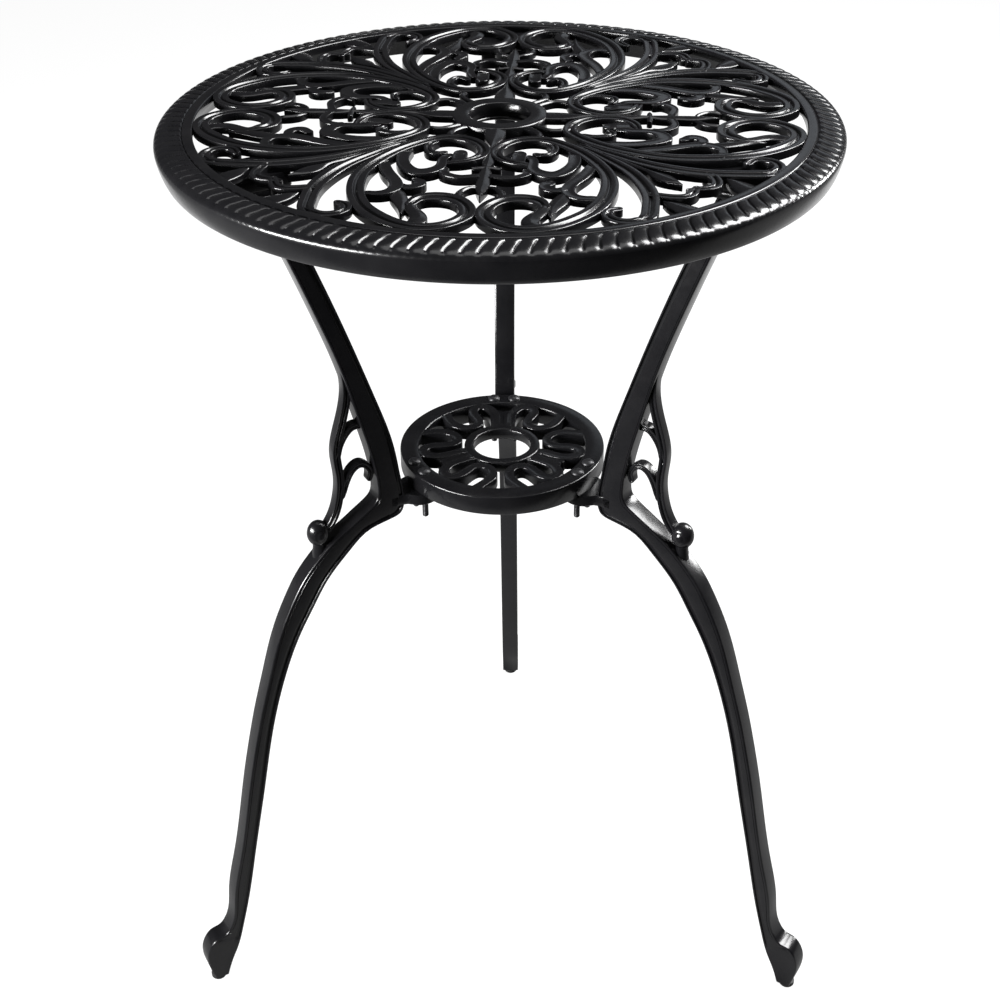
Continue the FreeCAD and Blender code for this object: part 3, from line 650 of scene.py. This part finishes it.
def make_bracket(solid):
    """Scrolls made flat, then stood up in the leg's plane."""
    for thickness, points in BRACKET_SCROLLS:
        rings = stroke_rings(points, "double", thickness / 2, -thickness / 2,
                             BRACKET_SPACING, True)
        solid.loft(np.stack([rings[..., 0], -rings[..., 2], rings[..., 1]], axis=-1))


def knob_depth(wide, side):
    """Distance of the ball's skin from the leg's middle plane, at a share of its width.

    A flat eye stands in the middle of each side, with a groove around it.
    """
    half_side = KNOB_HALF[2]
    eye = EYE_HEIGHT * (1 - smoothstep(wide, *EYE_EDGE))
    groove = EYE_GROOVE_DEPTH * math.exp(-((wide - EYE_GROOVE) / EYE_GROOVE_WIDTH) ** 2)
    depth = side * (half_side - groove) + math.copysign(eye, side)
    return max(-half_side, min(half_side, depth))


def make_knob(solid):
    """Ball with a small round eye on each side, on a short neck."""
    half_out, half_up, _ = KNOB_HALF
    angles = np.linspace(0, 2 * math.pi, KNOB_COLUMNS, endpoint=False)
    rings = []
    for i in range(KNOB_ROWS + 1):
        polar = math.pi * i / KNOB_ROWS
        wide = math.sin(polar)
        depth = knob_depth(wide, math.cos(polar))
        rings.append([(KNOB_RADIUS + half_out * wide * math.cos(a), depth,
                       KNOB_CENTRE + half_up * wide * math.sin(a)) for a in angles])
    solid.loft(rings)
    neck = Solid()
    lathe(neck, KNOB_NECK, KNOB_NECK_SEGMENTS)
    solid.placed(neck, Matrix.Translation((KNOB_RADIUS, 0, 0)))


def make_lug(solid):
    """Tongue under the shelf, round at its inner end and narrow where it meets the leg."""
    outline = [(LUG_CENTRE + LUG_ROUND * math.cos(a), LUG_ROUND * math.sin(a))
               for a in np.linspace(math.pi / 3, 5 * math.pi / 3, LUG_STEPS + 1)]
    outline += LUG_NECK + [(x, -y) for x, y in reversed(LUG_NECK)]
    plate(solid, outline, LUG_FOOT, SHELF_FOOT, LEG_EASE, Matrix.Identity(4))


def make_flange(solid):
    plate(solid, rounded_outline(*FLANGE_HALF, FLANGE_CORNER), FLANGE_FOOT, FLANGE_TOP,
          LEG_EASE, Matrix.Translation((FLANGE_RADIUS, 0, 0)))


def make_legs(material):
    one = Solid()
    make_leg_bar(one)
    make_bracket(one)
    make_knob(one)
    make_lug(one)
    make_flange(one)
    pieces = {}
    for where, degrees in LEG_DIRECTIONS.items():
        leg = Solid()
        leg.placed(one, turned_matrix(degrees))
        pieces[where] = leg.make(f"leg_{where}_casting", material, sharp=42)
    return pieces


def make_shelf(material):
    solid = Solid()
    limits = (SHELF_BORE + SHELF_BORE_COVER, SHELF_OUTER - SHELF_RING_COVER)
    scrollwork(solid, SHELF_SCROLLS, {}, [degrees - 90 for degrees in LEG_DIRECTIONS.values()],
               limits, SHELF_TOP, SHELF_SCROLL_FOOT)
    lathe(solid, [
        (SHELF_RING_INNER, SHELF_TOP - 1.0), (SHELF_RING_INNER + 0.4, SHELF_TOP - 0.3),
        (SHELF_RING_INNER + 1.2, SHELF_TOP), (SHELF_OUTER - 1.2, SHELF_TOP),
        (SHELF_OUTER - 0.5, SHELF_TOP - 0.25), (SHELF_OUTER - 0.1, SHELF_TOP - 0.9),
        (SHELF_OUTER, SHELF_TOP - 1.6),
        (SHELF_OUTER, SHELF_FOOT + 1), (SHELF_OUTER - 0.8, SHELF_FOOT),
        (SHELF_RING_INNER + 0.6, SHELF_FOOT), (SHELF_RING_INNER, SHELF_FOOT + 0.8)],
        SHELF_RING_SEGMENTS)
    lathe(solid, [
        (SHELF_BORE, SHELF_TOP - 0.9), (SHELF_BORE + 0.5, SHELF_TOP - 0.2),
        (SHELF_BORE + 1.2, SHELF_TOP), (SHELF_HUB - 1.2, SHELF_TOP),
        (SHELF_HUB - 0.4, SHELF_TOP - 0.3), (SHELF_HUB, SHELF_TOP - 1.2),
        (SHELF_HUB, SHELF_HUB_FOOT + 0.8), (SHELF_HUB - 0.8, SHELF_HUB_FOOT),
        (SHELF_BORE + 0.8, SHELF_HUB_FOOT), (SHELF_BORE, SHELF_HUB_FOOT + 0.8)],
        SHELF_HUB_SEGMENTS)
    return solid.make("shelf_casting", material, sharp=50)


def threaded(solid, radius, low, high, pitch, point=0.0):
    """A screw thread, with its lower end pointed by a chamfer."""
    rows = int((high - low) / pitch * THREAD_ROWS)
    angles = np.linspace(0, 2 * math.pi, THREAD_SIDES, endpoint=False)
    rings = [[(NEAR_AXIS * math.cos(a), NEAR_AXIS * math.sin(a), low) for a in angles]]
    for i in range(rows + 1):
        z = low + (high - low) * i / rows
        turn = z / pitch - angles / (2 * math.pi)
        tooth = np.abs(2 * (turn - np.floor(turn)) - 1)
        reach = radius - THREAD_DEPTH * pitch * tooth - max(0.0, point - (z - low))
        rings.append([(r * math.cos(a), r * math.sin(a), z) for r, a in zip(reach, angles)])
    solid.loft(rings)


def make_bolts(one, place, circle, spread, material):
    """Copies of one bolt, a pair at each leg, named for the place."""
    pieces = {}
    for where, degrees in LEG_DIRECTIONS.items():
        for side, sign in SIDES.items():
            bolt = Solid()
            bolt.placed(one, turned_matrix(degrees, circle, sign * spread))
            name = f"{place}_bolt_{where}_{side}"
            pieces[name] = bolt.make(name + "_machined", material, sharp=30)
    return pieces


def make_shelf_bolts(material):
    one = Solid()
    lathe(one, [(r, SHELF_TOP + z) for r, z in SHELF_BOLT_HEAD], BOLT_HEAD_SEGMENTS)
    threaded(one, SHELF_BOLT_RADIUS, SHELF_TOP - SHELF_BOLT_LENGTH, SHELF_TOP,
             SHELF_BOLT_PITCH, SHELF_BOLT_CHAMFER)
    return make_bolts(one, "shelf", SHELF_BOLT_CIRCLE, SHELF_BOLT_SPREAD, material)


def make_top_bolts(material):
    corner = TOP_BOLT_ACROSS / math.sqrt(3)
    one = Solid()
    one.loft([[(corner * scale * math.cos(math.radians(60 * k)),
                corner * scale * math.sin(math.radians(60 * k)), z) for k in range(6)]
              for z, scale in TOP_BOLT_HEAD])
    threaded(one, TOP_BOLT_RADIUS, *TOP_BOLT_SHANK, TOP_BOLT_PITCH)
    return make_bolts(one, "top", TOP_BOLT_CIRCLE, TOP_BOLT_SPREAD, material)


def make_glides(material):
    one = Solid()
    lathe(one, GLIDE_FOOT, GLIDE_SEGMENTS)
    threaded(one, GLIDE_SCREW_RADIUS, *GLIDE_SCREW, GLIDE_PITCH)
    pieces = {}
    for where, degrees in LEG_DIRECTIONS.items():
        glide = Solid()
        glide.placed(one, turned_matrix(degrees, GLIDE_CIRCLE))
        pieces[where] = glide.make(f"glide_{where}_foot", material, f"glide_{where}", 35)
    return pieces


class Nodes:
    """Short form for a material's node tree."""

    def __init__(self, material):
        self.tree = material.node_tree
        self.shader = self.tree.nodes["Principled BSDF"]

    def add(self, kind, **inputs):
        node = self.tree.nodes.new(kind)
        for name, value in inputs.items():
            node.inputs[name].default_value = value
        return node

    def link(self, source, target):
        self.tree.links.new(source, target)

    def ramp(self, source, low, high, at=(0.3, 0.7)):
        """Colour from low to high as the source goes between the two places."""
        node = self.add("ShaderNodeValToRGB")
        for element, place, colour in zip(node.color_ramp.elements, at, (low, high)):
            element.position = place
            element.color = (*colour, 1)
        self.link(source, node.inputs["Fac"])
        return node.outputs["Color"]

    def spread(self, source, low, high):
        """Maps 0 to 1 onto low to high."""
        node = self.add("ShaderNodeMapRange", **{"To Min": low, "To Max": high})
        self.link(source, node.inputs["Value"])
        return node.outputs["Result"]

    def eased(self, source, low, high, start=0.0, end=1.0):
        """Goes smoothly from start to end as the source goes from low to high."""
        node = self.add("ShaderNodeMapRange", **{
            "From Min": low, "From Max": high, "To Min": start, "To Max": end})
        node.interpolation_type = "SMOOTHSTEP"
        self.link(source, node.inputs["Value"])
        return node.outputs["Result"]

    def math(self, operation, *values):
        node = self.add("ShaderNodeMath")
        node.operation = operation
        for socket, value in zip(node.inputs, values):
            if isinstance(value, float):
                socket.default_value = value
            else:
                self.link(value, socket)
        return node.outputs["Value"]

    def bump(self, height, strength, distance):
        node = self.add("ShaderNodeBump", Strength=strength, Distance=distance)
        self.link(height, node.inputs["Height"])
        return node


def new_material(name):
    material = bpy.data.materials.new(name)
    material.use_nodes = True
    return material, Nodes(material)


def powder_coat():
    """Semi-gloss black coat over a casting: fine orange peel over a soft unevenness."""
    material, nodes = new_material("black_powder_coat")
    place = nodes.add("ShaderNodeTexCoord").outputs["Object"]
    cloud = nodes.add("ShaderNodeTexNoise", Scale=38.0, Detail=3.0, Roughness=0.55)
    peel = nodes.add("ShaderNodeTexNoise", Scale=900.0, Detail=2.0, Roughness=0.5)
    cast = nodes.add("ShaderNodeTexNoise", Scale=170.0, Detail=3.0, Roughness=0.6)
    for node in (cloud, peel, cast):
        nodes.link(place, node.inputs["Vector"])
    colour = nodes.ramp(cloud.outputs["Fac"], (0.0042, 0.0042, 0.0050), (0.0075, 0.0074, 0.0082))
    nodes.link(colour, nodes.shader.inputs["Base Color"])
    nodes.link(nodes.spread(cast.outputs["Fac"], 0.17, 0.26), nodes.shader.inputs["Roughness"])
    rough = nodes.bump(cast.outputs["Fac"], 0.10, 0.0006)
    fine = nodes.bump(peel.outputs["Fac"], 0.08, 0.0002)
    nodes.link(rough.outputs["Normal"], fine.inputs["Normal"])
    nodes.link(fine.outputs["Normal"], nodes.shader.inputs["Normal"])
    nodes.shader.inputs["Specular IOR Level"].default_value = 0.5
    return material


def grained(name, grain, colours, roughness, bump):
    """Material whose colour, roughness and bump follow one fine grain."""
    material, nodes = new_material(name)
    place = nodes.add("ShaderNodeTexCoord").outputs["Object"]
    noise = nodes.add("ShaderNodeTexNoise", **grain)
    nodes.link(place, noise.inputs["Vector"])
    level = noise.outputs["Fac"]
    nodes.link(nodes.ramp(level, *colours), nodes.shader.inputs["Base Color"])
    nodes.link(nodes.spread(level, *roughness), nodes.shader.inputs["Roughness"])
    nodes.link(nodes.bump(level, *bump).outputs["Normal"], nodes.shader.inputs["Normal"])
    return material, nodes.shader


def blackened_steel():
    """Bolts: darker, a little rougher steel with fine scratches."""
    grain = {"Scale": 1400.0, "Detail": 4.0, "Roughness": 0.6}
    colours = ((0.010, 0.010, 0.011), (0.030, 0.030, 0.033))
    material, shader = grained("blackened_steel", grain, colours, (0.30, 0.48), (0.12, 0.0002))
    shader.inputs["Metallic"].default_value = 0.35
    return material


def matt_plastic():
    """Glides: dull black plastic."""
    grain = {"Scale": 2200.0, "Detail": 2.0, "Roughness": 0.5}
    colours = ((0.008, 0.008, 0.008), (0.014, 0.014, 0.014))
    return grained("matt_black_plastic", grain, colours, (0.45, 0.62), (0.15, 0.0001))[0]


def floor_material():
    """White to the eye; in the coat's reflections, painted shade except for a strip of painted
    light from behind its front, and a painted shadow around the feet.
    """
    material, nodes = new_material("white_sweep")
    place = nodes.add("ShaderNodeTexCoord").outputs["Object"]
    parts = nodes.add("ShaderNodeSeparateXYZ")
    nodes.link(place, parts.inputs["Vector"])
    # Painted light: a strip from behind the floor's front, fading beside it; painted shade before
    # it.
    depth = nodes.eased(parts.outputs["Y"], PAINTED_SHADE_END, PAINTED_LIGHT_START)
    across = nodes.math("ABSOLUTE", parts.outputs["X"])
    widening = nodes.math("MULTIPLY", parts.outputs["Y"], FLOOR_WIDENING)
    beyond = nodes.math("SUBTRACT", across, widening)
    aside = nodes.eased(beyond, FLOOR_HALF_WIDTH, FLOOR_HALF_WIDTH + FLOOR_FADE, 1.0,
                        PAINTED_LIGHT_BESIDE)
    painted_light = nodes.math("MULTIPLY", depth, aside)
    # Painted light and shade in the floor's colour.
    colour = nodes.ramp(painted_light, (PAINTED_SHADE_COLOUR,) * 3, (PAINTED_LIGHT_COLOUR,) * 3, (0.0, 1.0))
    nodes.link(colour, nodes.shader.inputs["Base Color"])
    reach = nodes.add("ShaderNodeVectorMath")
    reach.operation = "LENGTH"
    nodes.link(place, reach.inputs[0])
    # Painted shadow under the table, around the feet.
    around = nodes.eased(reach.outputs["Value"], PAINTED_SHADOW_RADIUS, PAINTED_SHADOW_RADIUS + FLOOR_FADE,
                         PAINTED_SHADOW_LEVEL)
    # The glow seen in glossy reflections carries the painted light and the painted shadow; the
    # camera sees an even glow.
    rays = nodes.add("ShaderNodeLightPath")
    glossy = nodes.math("MULTIPLY", rays.outputs["Is Glossy Ray"], painted_light)
    painted_reflection = nodes.math("MULTIPLY", glossy, around)
    straight = nodes.math("MAXIMUM", rays.outputs["Is Camera Ray"],
                          rays.outputs["Is Transmission Ray"])
    seen = nodes.math("MAXIMUM", straight, painted_reflection)
    nodes.link(seen, nodes.shader.inputs["Emission Strength"])
    nodes.shader.inputs["Emission Color"].default_value = (FLOOR_GLOW, FLOOR_GLOW, FLOOR_GLOW, 1)
    nodes.shader.inputs["Roughness"].default_value = 0.9
    nodes.shader.inputs["Specular IOR Level"].default_value = 0.0
    return material


def make_floor():
    mesh = bpy.data.meshes.new("studio_floor")
    corners = [(sx * FLOOR_REACH, sy * FLOOR_REACH, 0)
               for sx, sy in ((-1, -1), (1, -1), (1, 1), (-1, 1))]
    mesh.from_pydata(corners, [], [(0, 1, 2, 3)])
    mesh.materials.append(floor_material())
    floor = bpy.data.objects.new("studio_floor", mesh)
    bpy.context.scene.collection.objects.link(floor)


def make_world():
    """White to the eye, nearly dark to everything else."""
    world = bpy.data.worlds.new("studio")
    world.use_nodes = True
    nodes, links = world.node_tree.nodes, world.node_tree.links
    background = nodes["Background"]
    background.inputs["Color"].default_value = (1, 1, 1, 1)
    rays = nodes.new("ShaderNodeLightPath")
    level = nodes.new("ShaderNodeMath")
    level.operation = "MAXIMUM"
    level.inputs[1].default_value = WORLD_LIGHT
    links.new(rays.outputs["Is Camera Ray"], level.inputs[0])
    links.new(level.outputs["Value"], background.inputs["Strength"])
    bpy.context.scene.world = world


def make_softbox(name, place, aim, width, height, power, colour):
    light = bpy.data.lights.new(name, "AREA")
    light.shape = "RECTANGLE"
    light.size = width
    light.size_y = height
    light.energy = power
    light.color = colour
    lamp = bpy.data.objects.new(name, light)
    lamp.location = place
    lamp.rotation_euler = (Vector(aim) - Vector(place)).to_track_quat("-Z", "Y").to_euler()
    bpy.context.scene.collection.objects.link(lamp)


def make_camera():
    yaw, pitch, roll = (math.radians(degrees) for degrees in CAMERA_TURNS)
    forward = Vector((-math.sin(yaw) * math.cos(pitch), math.cos(yaw) * math.cos(pitch),
                      -math.sin(pitch)))
    right = Vector((math.cos(yaw), math.sin(yaw), 0))
    up = right.cross(forward)
    rolled_right = math.cos(roll) * right + math.sin(roll) * up
    rolled_up = -math.sin(roll) * right + math.cos(roll) * up
    data = bpy.data.cameras.new("camera")
    data.sensor_width = SENSOR_WIDTH
    data.lens = LENS
    data.clip_start = 0.05
    data.clip_end = 60
    camera = bpy.data.objects.new("camera", data)
    turn = Matrix((rolled_right, rolled_up, -forward)).transposed()
    camera.matrix_world = Matrix.Translation(CAMERA_PLACE) @ turn.to_4x4()
    bpy.context.scene.collection.objects.link(camera)
    bpy.context.scene.camera = camera


def make_object():
    coat, steel, plastic = powder_coat(), blackened_steel(), matt_plastic()
    grille = make_grille(coat)
    make_rim(coat)
    make_hub(coat)
    make_pads(coat)
    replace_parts(grille, "table_top")
    for where, leg in make_legs(coat).items():
        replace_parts(leg, f"leg_{where}")
    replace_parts(make_shelf(coat), "shelf")
    for name, bolt in {**make_shelf_bolts(steel), **make_top_bolts(steel)}.items():
        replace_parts(bolt, name)
    for where, glide in make_glides(plastic).items():
        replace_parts(glide, f"glide_{where}")


make_object()
make_floor()
make_world()
for lamp_values in SOFTBOXES:
    make_softbox(*lamp_values)
make_camera()
bpy.context.scene.view_settings.view_transform = "Standard"
